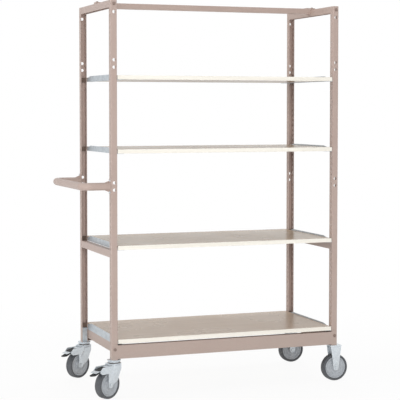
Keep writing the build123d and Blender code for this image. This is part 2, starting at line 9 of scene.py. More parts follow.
import bpy
import numpy as np
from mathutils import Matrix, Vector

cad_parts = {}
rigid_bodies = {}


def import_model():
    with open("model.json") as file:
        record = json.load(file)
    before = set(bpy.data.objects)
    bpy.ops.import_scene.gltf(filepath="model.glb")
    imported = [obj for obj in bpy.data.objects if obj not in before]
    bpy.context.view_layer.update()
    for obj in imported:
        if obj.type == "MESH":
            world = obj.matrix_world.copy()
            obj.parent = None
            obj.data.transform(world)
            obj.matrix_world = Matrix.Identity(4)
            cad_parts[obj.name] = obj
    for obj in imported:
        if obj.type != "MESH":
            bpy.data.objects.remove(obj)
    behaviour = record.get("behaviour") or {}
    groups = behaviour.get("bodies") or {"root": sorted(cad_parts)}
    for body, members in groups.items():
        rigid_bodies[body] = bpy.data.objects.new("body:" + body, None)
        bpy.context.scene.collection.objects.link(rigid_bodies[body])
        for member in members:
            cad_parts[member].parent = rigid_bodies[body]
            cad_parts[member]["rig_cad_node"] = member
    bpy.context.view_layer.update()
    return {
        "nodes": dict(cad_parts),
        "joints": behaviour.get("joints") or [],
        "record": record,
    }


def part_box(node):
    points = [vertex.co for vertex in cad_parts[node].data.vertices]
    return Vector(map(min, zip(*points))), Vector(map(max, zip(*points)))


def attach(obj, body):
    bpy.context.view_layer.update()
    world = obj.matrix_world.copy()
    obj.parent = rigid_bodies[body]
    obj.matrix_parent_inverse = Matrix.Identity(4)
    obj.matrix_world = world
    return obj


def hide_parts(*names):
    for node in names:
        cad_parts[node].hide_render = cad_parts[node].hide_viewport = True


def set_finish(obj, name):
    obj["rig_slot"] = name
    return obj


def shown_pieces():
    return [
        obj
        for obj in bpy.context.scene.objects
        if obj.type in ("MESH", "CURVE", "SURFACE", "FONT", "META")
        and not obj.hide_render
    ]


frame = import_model()
nodes = frame["nodes"]
record = frame["record"]
slot_of = {entry["node"]: entry["material_slot"] for entry in record["subparts"]}
carrier_of = {node: body for body, names in record["behaviour"]["bodies"].items() for node in names}
joint_of = {joint["name"]: joint for joint in frame["joints"]}
scene = bpy.context.scene

corners = ("front_left", "back_left", "front_right", "back_right")
swivel_corners = corners[:2]

# Rack, from the posts' boxes

post_low, post_high = (np.array(corner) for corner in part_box("post_front_left"))
far_corner = np.array(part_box("post_back_right")[1])
left, right = post_low[0], far_corner[0]
front, back = post_low[1], far_corner[1]
foot, top = post_low[2], post_high[2]
rack_middle = np.array([(left + right) / 2, (front + back) / 2, 0])
post_half_x = (post_high[0] - post_low[0]) / 2
post_half_y = (post_high[1] - post_low[1]) / 2

# Shapes

crease = radians(35)


def shell(rings, loop=False):
    """Points and faces of a skin over rings of points, all as arrays.

    Quads join point j and j + 1 of ring i to those of ring i + 1. With loop the last ring joins the first.
    Otherwise a fan to each end ring's middle closes the ends. Faces are turned round if the volume they
    enclose is negative, so they point outwards.
    """
    rings = np.asarray(rings, float)
    count, around = rings.shape[:2]
    ring, step = np.meshgrid(np.arange(count if loop else count - 1), np.arange(around), indexing="ij")
    near, far = ring * around, (ring + 1) % count * around
    ahead = (step + 1) % around
    quads = np.stack([near + step, near + ahead, far + ahead, far + step], -1).reshape(-1, 4)
    triangles = np.concatenate([quads[:, [0, 1, 2]], quads[:, [0, 2, 3]]])
    points = rings.reshape(-1, 3)
    fans = np.zeros((0, 3), int)
    if not loop:
        points = np.vstack([points, rings[0].mean(0), rings[-1].mean(0)])
        turn = np.arange(around)
        ahead = (turn + 1) % around
        last = (count - 1) * around
        first_middle = np.full(around, count * around)
        first_fan = np.stack([first_middle, ahead, turn], -1)
        last_fan = np.stack([first_middle + 1, last + turn, last + ahead], -1)
        fans = np.concatenate([first_fan, last_fan])
        triangles = np.concatenate([triangles, fans])
    a, b, c = (points[triangles[:, k]] for k in range(3))
    if np.einsum("ij,ij->i", a, np.cross(b, c)).sum() < 0:
        quads, fans = quads[:, ::-1], fans[:, ::-1]
    return points, quads.tolist() + fans.tolist()


def piece(name, shells, slot, body, stands_for=()):
    """One object from several skins, smooth up to the crease, riding on a body in place of some solids."""
    points, faces, start = [], [], 0
    for own, own_faces in shells:
        points.append(own)
        faces += [[start + k for k in face] for face in own_faces]
        start += len(own)
    mesh = bpy.data.meshes.new(name)
    mesh.from_pydata(np.concatenate(points).tolist(), [], faces)
    mesh.shade_smooth()
    mesh.set_sharp_from_angle(angle=crease)
    made = bpy.data.objects.new(name, mesh)
    scene.collection.objects.link(made)
    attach(made, body)
    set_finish(made, slot)
    if stands_for:
        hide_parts(*stands_for)


def across(way):
    """Two directions at right angles to a unit vector and to each other."""
    way = np.asarray(way, float)
    nearly_upright = abs(way[2]) > 0.9
    helper = np.array([1.0, 0.0, 0.0]) if nearly_upright else np.array([0.0, 0.0, 1.0])
    side = np.cross(helper, way)
    side /= np.linalg.norm(side)
    return side, np.cross(way, side)


def turned(profile, centre, axis, steps=96):
    """A closed profile of (along the axis, radius) pairs turned about the axis, one ring per step.

    A point is the centre, plus the axis times the distance along it, plus the radius times the turning
    direction, cosine of the turn times one cross direction plus sine times the other.
    """
    profile = np.asarray(profile, float)
    side, rise = across(axis)
    turn = np.linspace(0, 2 * pi, steps, endpoint=False)[:, None, None]
    outward = np.cos(turn) * side + np.sin(turn) * rise
    rings = np.asarray(centre) + profile[None, :, :1] * np.asarray(axis) + profile[None, :, 1:] * outward
    return shell(rings, loop=True)


def bolt(seat, way, diameter, grip, steps=48):
    """A hexagon bolt with its nut: the head stands out of its seat along the way, the nut closes the grip.

    Each ring has a place along the bolt and a largest radius. Where that is wider than the flats, the radius
    is the hexagon's, half the flats over the cosine of the angle to the nearest flat, cut off at the largest
    radius, which makes the round chamfer.
    """
    way = np.asarray(way, float)
    shank = diameter / 2
    flat = 0.8 * diameter
    corner = flat / cos(pi / 6)
    face, washer = 0.94 * flat, 0.96 * flat
    dish_floor, dish_rim = 0.5 * flat, 0.6 * flat
    thread_rim, thread_floor = 1.05 * shank, 0.8 * shank
    head, nut, bevel = 0.65 * diameter, 0.8 * diameter, 0.1 * diameter
    dish, washer_low, washer_high = 0.02 * diameter, 0.04 * diameter, 0.06 * diameter
    end = -grip - nut
    along, widest = np.array([
        (head - dish, dish_floor), (head, dish_rim), (head, face), (head - bevel, corner),
        (washer_high, corner), (washer_low, washer), (0, washer), (0, shank),
        (-grip, shank), (-grip, face), (-grip - bevel, corner),
        (end + bevel, corner), (end, face), (end, thread_rim), (end, thread_floor),
    ]).T
    turn = np.linspace(0, 2 * pi, steps, endpoint=False)
    hexagon = flat / np.cos((turn + pi / 6) % (pi / 3) - pi / 6)
    radius = np.minimum(hexagon, widest[:, None])
    side, rise = across(way)
    outward = np.cos(turn)[:, None] * side + np.sin(turn)[:, None] * rise
    return shell(np.asarray(seat) + along[:, None, None] * way + radius[:, :, None] * outward)


def bead(path, radius, ripples, steps=14):
    """A weld bead along a path that lies across X: a round section that swells once per ripple.

    The radius is multiplied by 1 plus a small cosine of the ripples, and by the root of a parabola that
    fades it at both ends. The section's two directions are the path's step crossed with X, and the step
    crossed with that side.
    """
    path = np.asarray(path, float)
    ahead = np.gradient(path, axis=0)
    ahead /= np.linalg.norm(ahead, axis=1)[:, None]
    side = np.cross(ahead, [1.0, 0.0, 0.0])
    side /= np.linalg.norm(side, axis=1)[:, None]
    rise = np.cross(ahead, side)
    run = np.linspace(0, 1, len(path))
    ripple_depth, fade_rate, least = 0.14, 18, 0.15
    ripple = 1 + ripple_depth * np.cos(2 * pi * ripples * run)
    fade = np.clip(fade_rate * run * (1 - run), least, 1) ** 0.5
    swell = radius * ripple * fade
    turn = np.linspace(0, 2 * pi, steps, endpoint=False)[None, :, None]
    ring = np.cos(turn) * side[:, None] + np.sin(turn) * rise[:, None]
    return shell(path[:, None] + swell[:, None, None] * ring)


# Wheels: profiles as (along the axle, radius) in millimetres, one side, mirrored for the other

tyre_side = np.array([
    (0, 62.5), (6, 62.45), (11, 62.2), (13.6, 61.7), (15.6, 60.7), (17.0, 59.3), (17.8, 57.6), (18, 55.8),
    (17.9, 54.8), (17.5, 54.2), (17.5, 53.6), (17.8, 53.1), (17.6, 52.2), (16.9, 51.3), (16.0, 51.0),
    (8, 51.0), (0, 51.0),
])
rim_side = np.array([
    (0, 50.95), (14.2, 50.95), (14.8, 50.5), (15.0, 49.8), (15.0, 46.2), (14.7, 45.4), (14.0, 44.9),
    (12.6, 44.2), (10.9, 42.6), (9.8, 40.6), (9.3, 38.4), (9.3, 33.0), (9.5, 32.3), (10.3, 31.8),
    (10.6, 31.2), (10.6, 28.6), (10.3, 28.0), (9.6, 27.6), (9.4, 27.0), (9.4, 20.0), (9.8, 18.6),
    (10.9, 17.6), (12.4, 17.1), (17.2, 16.6), (18.4, 16.2), (18.9, 15.4), (18.9, 10.2), (18.6, 9.6),
    (18.6, 8.05), (0, 8.05),
])
sleeve_side = np.array([(0, 8.0), (20.8, 8.0), (21.0, 7.8), (21.0, 4.3), (20.8, 4.05), (0, 4.05)])
axle_size = 0.008
leg_face = 0.024  # from the wheel's middle to the outer face of a fork leg


def both_sides(profile):
    """A closed profile in metres from one side: the side itself, then its mirror image run backwards."""
    mirror = profile[-2:0:-1] * (-1, 1)
    return np.concatenate([profile, mirror]) / 1000


for corner in corners:
    spin = joint_of[f"wheel_spin_{corner}"]
    hub, axle = np.array(spin["pos_m"]), np.array(spin["axis"])
    body = f"wheel_{corner}"
    tyre = turned(both_sides(tyre_side), hub, axle)
    piece(f"grey_tyre_{corner}", [tyre], "tyre_grey", body, [f"tyre_{corner}"])
    rim = turned(both_sides(rim_side), hub, axle)
    piece(f"ringed_rim_{corner}", [rim], "rim_grey", body, [f"wheel_rim_{corner}"])
    plain_axle = f"axle_{corner}"
    axle_bolt = bolt(hub - leg_face * axle, -axle, axle_size, 2 * leg_face)
    sleeve = turned(both_sides(sleeve_side), hub, axle, steps=48)
    piece(f"axle_bolt_{corner}", [axle_bolt, sleeve], "zinc", carrier_of[plain_axle], [plain_axle])

# Bolts of the frame

frame_bolt, small_bolt = 0.008, 0.006
top_bolt_drop, base_bolt_rise = 0.017, 0.046
steel_wall, insert_stack = 0.002, 0.0046
through_spare, hook_depth = 0.003, 0.010
hook_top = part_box("top_rail_centre")[1][2]
top_bolts, base_bolts = [], []
for x in (left + post_half_x, right - post_half_x):
    for face, out in ((front, -1), (back, 1)):
        top_seat = (x, face, top - top_bolt_drop)
        top_bolts.append(bolt(top_seat, (0, out, 0), frame_bolt, 2 * post_half_y + through_spare))
        base_seat = (x, face + out * steel_wall, foot + base_bolt_rise)
        base_bolts.append(bolt(base_seat, (0, out, 0), frame_bolt, steel_wall + insert_stack))
    hook_seat = (x, rack_middle[1], hook_top)
    top_bolts.append(bolt(hook_seat, (0, 0, 1), small_bolt, hook_depth + steel_wall))
piece("hex_bolts_top", top_bolts, "bolt_steel", "frame", ["frame_bolts"])
piece("hex_bolts_base", base_bolts, "bolt_steel", "frame")

# Bolts of the handle's end plates

handle_low, handle_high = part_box("push_handle")
handle_z = (handle_low[2] + handle_high[2]) / 2
handle_plate = 0.003
handle_bolt_inset, handle_bolt_step = 0.008, 0.025
handle_bolts = [
    bolt((left - handle_plate, y, handle_z + step), (-1, 0, 0), small_bolt, handle_plate + steel_wall)
    for y in (front + handle_bolt_inset, back - handle_bolt_inset)
    for step in (-handle_bolt_step, handle_bolt_step)
]
piece("hex_bolts_handle", handle_bolts, "zinc", "frame", ["handle_bolts"])

# Weld beads where the handle's tube meets its plates, over the arcs that the plates back

tube_radius = 0.0337 / 2
bead_line = tube_radius + 0.0008
bead_radius, bead_ripples, bead_points = 0.0024, 12, 60
bead_out = 0.0042  # from the left faces of the posts
bead_half_sweep = radians(46)
beads = []
for y in (front + post_half_y, back - post_half_y):
    for middle in (0, pi):
        turn = middle + np.linspace(-bead_half_sweep, bead_half_sweep, bead_points)
        place_x = np.full(bead_points, left - bead_out)
        arc = np.stack([place_x, y + bead_line * np.sin(turn), handle_z + bead_line * np.cos(turn)], -1)
        beads.append(bead(arc, bead_radius, bead_ripples))
piece("handle_weld_beads", beads, "frame_paint", "frame")

# Pressed rings that close the ball races, as (height above the crown, radius) in millimetres

race_ring = np.array([
    (8.0, 25.6), (8.0, 26.8), (7.6, 27.3), (6.8, 27.7), (4.9, 28.1), (4.5, 28.0), (4.4, 27.6), (4.6, 27.2),
    (6.4, 26.7), (7.3, 26.3),
]) / 1000
for corner in swivel_corners:
    pin = joint_of[f"swivel_turn_{corner}"]["pos_m"]
    crown_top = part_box(f"caster_fork_{corner}")[1][2]
    ring = turned(race_ring, (pin[0], pin[1], crown_top), (0, 0, 1))
    piece(f"race_ring_{corner}", [ring], "zinc", carrier_of[f"swivel_plate_{corner}"])

# Pressed ridges on the legs of the swivel forks, in millimetres: edges at each height, from the swivel axis

ridge_heights = np.array([148.0, 140.0, 128.0, 114.0, 100.0, 88.0, 80.0, 74.0])
ridge_front = np.array([-15.0, -16.0, -15.0, -9.0, -2.5, 4.0, 12.0, 22.0])
ridge_rear = np.array([21.0, 24.0, 29.0, 39.0, 48.0, 50.0, 50.0, 49.0])
ridge_rise = 3.2
ridge_edge_depth, ridge_floor_depth = 0.6, 1.0
ridge_floor_reach = 0.9
ridge_fade = 0.06
ridge_sections, ridge_top_points, ridge_floor_points = 60, 41, 9


def ridge(axis, rearward, out):
    """A pressed ridge on a fork leg, from sections at heights spaced by a cosine.

    Across a section the place v runs from -1 at the front edge to 1 at the rear, and the ridge stands out
    by its rise times 1 - v^4, less near both ends. Its edges lie inside the leg, and its floor lies deeper.
    """
    share = (1 - np.cos(np.linspace(0, pi, ridge_sections))) / 2
    height = ridge_heights[0] + (ridge_heights[-1] - ridge_heights[0]) * share
    front_edge = np.interp(-height, -ridge_heights, ridge_front)
    rear_edge = np.interp(-height, -ridge_heights, ridge_rear)
    middle, half = (front_edge + rear_edge) / 2, (rear_edge - front_edge) / 2
    over = np.linspace(-1, 1, ridge_top_points)
    under = np.linspace(ridge_floor_reach, -ridge_floor_reach, ridge_floor_points)
    v = np.concatenate([over, under])
    level = np.concatenate([ridge_rise * (1 - over**4), np.zeros(ridge_floor_points)])
    sink = np.repeat([ridge_edge_depth, ridge_floor_depth], [ridge_top_points, ridge_floor_points])
    lift = np.clip(np.minimum(share, 1 - share) / ridge_fade, 0, 1) ** 0.5
    along = (middle[:, None] + half[:, None] * v) / 1000
    stand = (lift[:, None] * level - sink) / 1000
    rings = along[:, :, None] * rearward + stand[:, :, None] * out
    rings = rings + (axis[0], axis[1], 0) + (height / 1000)[:, None, None] * (0, 0, 1)
    return shell(rings)


for corner in swivel_corners:
    pin = np.array(joint_of[f"swivel_turn_{corner}"]["pos_m"])
    spin = joint_of[f"wheel_spin_{corner}"]
    hub, axle = np.array(spin["pos_m"]), np.array(spin["axis"])
    rearward = (hub - pin) * (1, 1, 0)
    rearward /= np.linalg.norm(rearward)
    ridges = [ridge(pin + out * leg_face * axle, rearward, out * axle) for out in (-1, 1)]
    piece(f"fork_ridges_{corner}", ridges, "zinc", carrier_of[f"caster_fork_{corner}"])

# Rubber of the brake pedals, with places along the lever from its pivot

lever = dict(barrel=0.007, wall=0.004, end=0.087, half=0.017, droop=radians(9))
tread = dict(
    start=0.019, stop=0.065, thick=0.003, sunk=0.0004, corner=0.006, edge=0.0012, plain=0.003, rib=0.0055,
    groove=0.0009, sections=180,
)
lip = dict(
    start=0.036, flat=0.092, reach=0.105, drop=0.0105, half=0.0165, round_from=0.088, thick=0.0014,
    thinning=0.0005, sections=90,
)


def on_lever(press, place, height, wide):
    """Points of a brake pedal, from places along its lever, heights over it and widths along its pivot.

    The lever points away from the pivot, at right angles to the pivot's axis, and falls by the droop angle.
    """
    axis = np.array(press["axis"])
    up = np.array([0, 0, 1.0])
    out = np.cross(up, axis)
    along = out * cos(lever["droop"]) - up * sin(lever["droop"])
    rise = out * sin(lever["droop"]) + up * cos(lever["droop"])
    line = np.array(press["pos_m"]) + place[:, None, None] * along
    return line + height[..., None] * rise + wide[..., None] * axis


def rounded_box(steps=48, soft=0.28):
    """A rounded rectangle of half sizes 1: cosine and sine of the turn, each raised to a small power."""
    turn = np.linspace(0, 2 * pi, steps, endpoint=False)
    return tuple(np.sign(part) * np.abs(part) ** soft for part in (np.cos(turn), np.sin(turn)))


def tread_pad(press):
    """A ribbed pad on the lever's top: a rounded rectangle at each place along it.

    The lower line lies just inside the lever's sloping top, the upper line one thickness above and lower in
    each groove. Towards both ends the pad narrows by a quarter circle, so its corners are round.
    """
    share = (1 - np.cos(np.linspace(0, pi, tread["sections"]))) / 2
    place = tread["start"] + (tread["stop"] - tread["start"]) * share
    to_end = np.minimum(place - tread["start"], tread["stop"] - place)
    lever_top = lever["barrel"] - (lever["barrel"] - lever["wall"]) * place / lever["end"]
    ribbed = np.clip((to_end - tread["plain"]) / tread["plain"], 0, 1)
    wave = 0.5 + 0.5 * np.cos(2 * pi * (place - tread["start"]) / tread["rib"])
    groove = tread["groove"] * ribbed * wave**2
    fullness = np.sqrt(1 - (1 - np.clip(to_end / tread["edge"], 0.02, 1)) ** 2)
    low = lever_top - tread["sunk"]
    tall = (lever_top + tread["thick"] - groove - low) * fullness / 2
    corner = 1 - np.clip(to_end / tread["corner"], 0, 1)
    half = lever["half"] - tread["corner"] * (1 - np.sqrt(1 - corner**2))
    across_way, up_way = rounded_box()
    height = (low + tall)[:, None] + tall[:, None] * up_way
    return shell(on_lever(press, place, height, half[:, None] * across_way))


def lever_lip(press):
    """A thin lip under the lever: a rounded strip that leaves it, bends down and runs flat to a round tip.

    Its line falls by the drop times 3 s^2 - 2 s^3, where s runs from 0 to 1 over the bend. Its half width
    is that of the strip times the square root of 1 - t^2, where t runs from 0 to 1 over the round tip.
    """
    share = np.sin(np.linspace(0, pi / 2, lip["sections"]))
    place = lip["start"] + (lip["reach"] - lip["start"]) * share
    s = np.clip((place - lip["start"]) / (lip["flat"] - lip["start"]), 0, 1)
    t = np.clip((place - lip["round_from"]) / (lip["reach"] - lip["round_from"]), 0, 0.999)
    middle = lever["wall"] / 2 - lip["drop"] * s * s * (3 - 2 * s)
    tall = lip["thick"] - lip["thinning"] * t
    half = lip["half"] * np.sqrt(1 - t * t)
    across_way, up_way = rounded_box()
    height = middle[:, None] + tall[:, None] * up_way
    return shell(on_lever(press, place, height, half[:, None] * across_way))


for corner in swivel_corners:
    press = joint_of[f"pedal_press_{corner}"]
    rubber = [tread_pad(press), lever_lip(press)]
    piece(f"ribbed_pad_{corner}", rubber, "pedal_rubber", f"pedal_{corner}", [f"pedal_pad_{corner}"])

# Solids that keep their shape get slightly broken edges

edge_widths = {
    "shelf_board": 0.0006,
    "edge_bands": 0.0005,
    "brake_pedal": 0.0008,
    "caster_fork": 0.0006,
    "swivel_plate": 0.0006,
}
merge_distance = 0.00001
edge_angle = radians(40)
for name, solid in nodes.items():
    for kind, width in edge_widths.items():
        if name.startswith(kind):
            merge = solid.modifiers.new("merge", "WELD")
            merge.merge_threshold = merge_distance
            edge = solid.modifiers.new("broken_edges", "BEVEL")
            edge.width = width
            edge.segments = 2
            edge.limit_method = "ANGLE"
            edge.angle_limit = edge_angle
            edge.use_clamp_overlap = True

# Shader building blocks


def tone(red, green, blue):
    """A screen colour of 0 to 255 per channel as linear light, by the sRGB curve."""
    shares = np.array([red, green, blue]) / 255
    linear = np.where(shares <= 0.04045, shares / 12.92, ((shares + 0.055) / 1.055) ** 2.4)
    return (*(float(v) for v in linear), 1.0)


def put(tree, kind, **values):
    """Adds a node and gives it values.

    A value named like a socket, or _ and its number, is set or linked there. Other values are properties.
    """
    made = tree.nodes.new(kind)
    for name, value in values.items():
        if name.startswith("_"):
            target = made.inputs[int(name[1:])]
        elif name.replace("_", " ") in made.inputs:
            target = made.inputs[name.replace("_", " ")]
        else:
            setattr(made, name, value)
            continue
        if isinstance(value, bpy.types.NodeSocket):
            tree.links.new(value, target)
        else:
            target.default_value = value
    return made


def maths(tree, operation, first, second=0.0):
    """One arithmetic step on two values."""
    return put(tree, "ShaderNodeMath", operation=operation, _0=first, _1=second).outputs[0]


def plus_share(tree, first, second, share):
    """A value plus a share of another."""
    return maths(tree, "ADD", first, maths(tree, "MULTIPLY", second, share))


def blended(tree, share, first, second):
    """Two colours mixed by a share of 0 to 1."""
    return put(tree, "ShaderNodeMix", data_type="RGBA", _0=share, _6=first, _7=second).outputs[2]


def tinted(tree, colour, mask, strength, tint):
    """A colour mixed towards a tint by the strength of a mask."""
    return blended(tree, maths(tree, "MULTIPLY", mask, strength), colour, tint)


def spread(tree, value, low, high, new_low=0.0, new_high=1.0):
    """A value eased from one range into another and held inside it."""
    eased = put(tree, "ShaderNodeMapRange", interpolation_type="SMOOTHSTEP", _0=value, _1=low, _2=high,
                _3=new_low, _4=new_high)
    return eased.outputs[0]


def highest(tree, value, share, softness):
    """1 where a value is high and 0 elsewhere: it rises about 1 - share, over twice the softness."""
    edge = maths(tree, "SUBTRACT", 1.0, share)
    return spread(tree, value, maths(tree, "SUBTRACT", edge, softness), maths(tree, "ADD", edge, softness))


def own_place(tree):
    """The piece's own coordinates."""
    return put(tree, "ShaderNodeTexCoord").outputs["Object"]


def noise(tree, place, scale, detail, roughness=0.5):
    """Noise of 0 to 1 at a place."""
    made = put(tree, "ShaderNodeTexNoise", Vector=place, Scale=scale, Detail=detail, Roughness=roughness)
    return made.outputs[0]


def group(name, inputs, outputs):
    """An empty shader group with number inputs (name, default) and number outputs."""
    made = bpy.data.node_groups.new(name, "ShaderNodeTree")
    for label, default in inputs:
        socket = made.interface.new_socket(label, in_out="INPUT", socket_type="NodeSocketFloat")
        socket.default_value = default
    for label in outputs:
        made.interface.new_socket(label, in_out="OUTPUT", socket_type="NodeSocketFloat")
    return made, made.nodes.new("NodeGroupInput").outputs, made.nodes.new("NodeGroupOutput").inputs


def grain_group():
    """Even noise of one size; Value is 0 to 1 and usable as a height."""
    tree, given, result = group("grain", [("Size", 0.002), ("Detail", 2.0)], ["Value"])
    scale = maths(tree, "DIVIDE", 1.0, given["Size"])
    tree.links.new(noise(tree, own_place(tree), scale, given["Detail"], 0.55), result["Value"])
    return tree


def patches_group():
    """Soft clouds of one size; Mask is 0 to 1, and Share moves how much of the surface they cover."""
    tree, given, result = group("patches", [("Size", 0.2), ("Share", 0.5), ("Softness", 0.2)], ["Mask"])
    scale = maths(tree, "DIVIDE", 1.0, given["Size"])
    clouds = noise(tree, own_place(tree), scale, 3.0, 0.6)
    tree.links.new(highest(tree, clouds, given["Share"], given["Softness"]), result["Mask"])
    return tree


def streaks_group():
    """Long thin noise along X, drawn out by Stretch."""
    tree, given, result = group("streaks", [("Size", 0.004), ("Stretch", 40.0)], ["Value"])
    parts = put(tree, "ShaderNodeSeparateXYZ", Vector=own_place(tree)).outputs
    slow_x = maths(tree, "DIVIDE", parts[0], given["Stretch"])
    drawn = put(tree, "ShaderNodeCombineXYZ", X=slow_x, Y=parts[1], Z=parts[2]).outputs[0]
    scale = maths(tree, "DIVIDE", 1.0, given["Size"])
    tree.links.new(noise(tree, drawn, scale, 2.0), result["Value"])
    return tree


def scratches_group():
    """Sparse hairline marks: the narrow lines where a drawn-out noise is a half, kept in soft patches."""
    tree, given, result = group("scratches", [("Size", 0.05), ("Width", 0.012), ("Share", 0.3)], ["Mask"])
    place = own_place(tree)
    drawn = put(tree, "ShaderNodeMapping", Vector=place, Rotation=(0.5, 0.9, 0.3), Scale=(1.0, 0.12, 0.4))
    scale = maths(tree, "DIVIDE", 1.0, given["Size"])
    wander = noise(tree, drawn.outputs[0], scale, 4.0, 0.7)
    line = maths(tree, "ABSOLUTE", maths(tree, "SUBTRACT", wander, 0.5))
    thin = spread(tree, line, 0.0, given["Width"], 1.0, 0.0)
    clouds = noise(tree, place, maths(tree, "MULTIPLY", scale, 0.6), 1.0)
    kept = highest(tree, clouds, given["Share"], 0.08)
    tree.links.new(maths(tree, "MULTIPLY", thin, kept), result["Mask"])
    return tree


def slide_marks_group():
    """Fine straight rubs along Y, as things pushed onto a shelf leave.

    They are the tops of a noise that is drawn out along Y, kept only inside soft patches.
    """
    inputs = [("Width", 0.0016), ("Length", 0.3), ("Share", 0.45)]
    tree, given, result = group("slide_marks", inputs, ["Mask"])
    place = own_place(tree)
    parts = put(tree, "ShaderNodeSeparateXYZ", Vector=place).outputs
    wide = maths(tree, "DIVIDE", parts[0], given["Width"])
    long = maths(tree, "DIVIDE", parts[1], given["Length"])
    drawn = put(tree, "ShaderNodeCombineXYZ", X=wide, Y=long, Z=parts[2]).outputs[0]
    rubs = spread(tree, noise(tree, drawn, 1.0, 1.0), 0.64, 0.76)
    kept = highest(tree, noise(tree, place, 7.0, 2.0), given["Share"], 0.1)
    tree.links.new(maths(tree, "MULTIPLY", rubs, kept), result["Mask"])
    return tree


def spangle_group():
    """Zinc crystals: each cell has its own Tone of 0 to 1, and Edge marks the seams between cells."""
    tree, given, result = group("spangle", [("Size", 0.012)], ["Tone", "Edge"])
    place = own_place(tree)
    wobble = put(tree, "ShaderNodeTexNoise", Vector=place, Scale=160.0, Detail=2.0).outputs["Color"]
    reach = (0.006, 0.006, 0.006)
    bend = put(tree, "ShaderNodeVectorMath", operation="MULTIPLY_ADD", _0=wobble, _1=reach, _2=place)
    bent = bend.outputs[0]
    scale = maths(tree, "DIVIDE", 1.0, given["Size"])
    cells = put(tree, "ShaderNodeTexVoronoi", Vector=bent, Scale=scale)
    seams = put(tree, "ShaderNodeTexVoronoi", feature="DISTANCE_TO_EDGE", Vector=bent, Scale=scale)
    shade = put(tree, "ShaderNodeSeparateColor", Color=cells.outputs["Color"]).outputs[0]
    tree.links.new(shade, result["Tone"])
    tree.links.new(spread(tree, seams.outputs[0], 0.0, 0.12, 1.0, 0.0), result["Edge"])
    return tree


def floor_dust_group():
    """Dust thrown up from the floor: densest at the floor, gone at Reach, broken up by noise."""
    tree, given, result = group("floor_dust", [("Reach", 0.2), ("Amount", 0.3)], ["Mask"])
    place = own_place(tree)
    height = put(tree, "ShaderNodeSeparateXYZ", Vector=place).outputs[2]
    fall = spread(tree, height, 0.0, given["Reach"], 1.0, 0.0)
    broken_up = spread(tree, noise(tree, place, 55.0, 4.0, 0.65), 0.32, 0.68, 0.25, 1.0)
    mask = maths(tree, "MULTIPLY", maths(tree, "MULTIPLY", fall, broken_up), given["Amount"])
    tree.links.new(mask, result["Mask"])
    return tree


grain, patches, streaks = grain_group(), patches_group(), streaks_group()
scratches, slide_marks = scratches_group(), slide_marks_group()
spangle, floor_dust = spangle_group(), floor_dust_group()


def effect(tree, shared, output, **values):
    """A shared group placed in a material with its own values; gives the named output."""
    node = tree.nodes.new("ShaderNodeGroup")
    node.node_tree = shared
    for name, value in values.items():
        node.inputs[name].default_value = value
    return node.outputs[output]


def raised(tree, height, distance, strength):
    """A bump normal from a height."""
    return put(tree, "ShaderNodeBump", Strength=strength, Distance=distance, Height=height).outputs["Normal"]


def material(name):
    """An empty node material with its shader."""
    made = bpy.data.materials.new(name)
    made.use_nodes = True
    return made, made.node_tree, made.node_tree.nodes["Principled BSDF"]


# Finishes

dust_tone = tone(176, 170, 160)


def frame_paint():
    """Taupe powder coat: soft clouds, a fine fleck, orange-peel skin, hairline marks and a little dust."""
    made, tree, shader = material("taupe_powder_coat")
    clouds = effect(tree, patches, "Mask", Size=0.22, Share=0.5, Softness=0.3)
    colour = blended(tree, clouds, tone(181, 161, 152), tone(187, 168, 159))
    fleck = spread(tree, effect(tree, grain, "Value", Size=0.0035, Detail=3.0), 0.35, 0.65, 0.0, 0.35)
    colour = blended(tree, fleck, colour, tone(173, 153, 144))
    marks = effect(tree, scratches, "Mask", Size=0.09, Width=0.010, Share=0.36)
    colour = tinted(tree, colour, marks, strength=0.15, tint=tone(216, 205, 198))
    dust = effect(tree, floor_dust, "Mask", Reach=0.42, Amount=0.35)
    colour = blended(tree, dust, colour, dust_tone)
    tree.links.new(colour, shader.inputs["Base Color"])
    rough = plus_share(tree, spread(tree, clouds, 0.0, 1.0, 0.40, 0.47), dust, share=0.35)
    tree.links.new(rough, shader.inputs["Roughness"])
    peel = effect(tree, grain, "Value", Size=0.0022, Detail=1.0)
    tree.links.new(raised(tree, peel, distance=0.00025, strength=0.35), shader.inputs["Normal"])
    return made


def board(name, light, dark, least_rough):
    """Melamine board: faint streaks along it, soft clouds, a fine pearl texture and faint rubs across it."""
    made, tree, shader = material(name)
    lines = spread(tree, effect(tree, streaks, "Value", Size=0.011, Stretch=30.0), 0.3, 0.7)
    colour = blended(tree, lines, light, dark)
    clouds = effect(tree, patches, "Mask", Size=0.3, Share=0.5, Softness=0.3)
    colour = tinted(tree, colour, clouds, strength=0.35, tint=dark)
    marks = effect(tree, slide_marks, "Mask", Width=0.0016, Length=0.3, Share=0.45)
    colour = tinted(tree, colour, marks, strength=0.22, tint=tone(214, 208, 200))
    tree.links.new(colour, shader.inputs["Base Color"])
    cloudy = spread(tree, clouds, 0.0, 1.0, least_rough, least_rough + 0.06)
    tree.links.new(plus_share(tree, cloudy, marks, share=0.03), shader.inputs["Roughness"])
    pearl = effect(tree, grain, "Value", Size=0.0016, Detail=1.0)
    tree.links.new(raised(tree, pearl, distance=0.00012, strength=0.18), shader.inputs["Normal"])
    shader.inputs["Specular IOR Level"].default_value = 0.1
    return made


